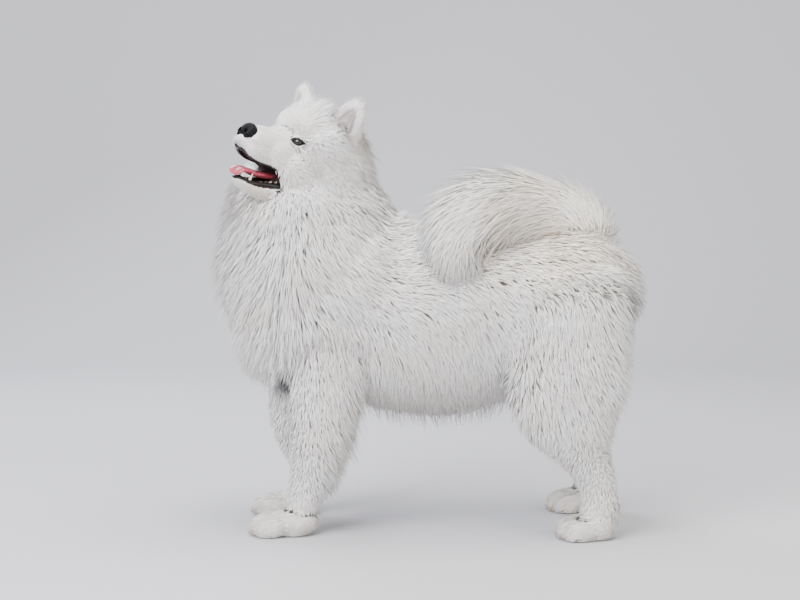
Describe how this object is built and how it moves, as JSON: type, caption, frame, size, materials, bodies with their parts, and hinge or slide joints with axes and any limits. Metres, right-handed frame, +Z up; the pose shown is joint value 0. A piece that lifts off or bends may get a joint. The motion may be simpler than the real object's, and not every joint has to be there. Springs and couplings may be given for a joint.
{
  "type": "samoyed dog model",
  "caption": "Life-size still model of a standing Samoyed with its head raised, mouth open and tail curled over its back.",
  "frame": {"origin": "on the floor, under the middle of the model's box", "axes": "+Z up, the dog faces -Y, its left side is +X"},
  "size_m": [0.37, 0.7964, 0.8048],
  "materials": {
    "coat": "long white double coat with soft cream tints",
    "nose_leather": "black, finely pebbled and slightly moist",
    "lip_leather": "black, smooth and moist",
    "tongue": "pink, soft and moist",
    "eye": "dark brown, clear and wet",
    "tooth": "ivory white",
    "claw": "pale horn, slightly pink",
    "paw_pad": "dark grey, rough"
  },
  "bodies": {
    "root": {"head": "coat", "jaw": "coat", "nose": "nose_leather", "tongue": "tongue", "eye_left": "eye", "eye_right": "eye", "ear_left": "coat", "ear_right": "coat", "neck": "coat", "torso": "coat", "foreleg_left": "coat", "foreleg_right": "coat", "forepaw_left": "coat", "forepaw_right": "coat", "hindleg_left": "coat", "hindleg_right": "coat", "hindpaw_left": "coat", "hindpaw_right": "coat", "tail_base": "coat", "tail_tip": "coat"}
  },
  "joints": []
}
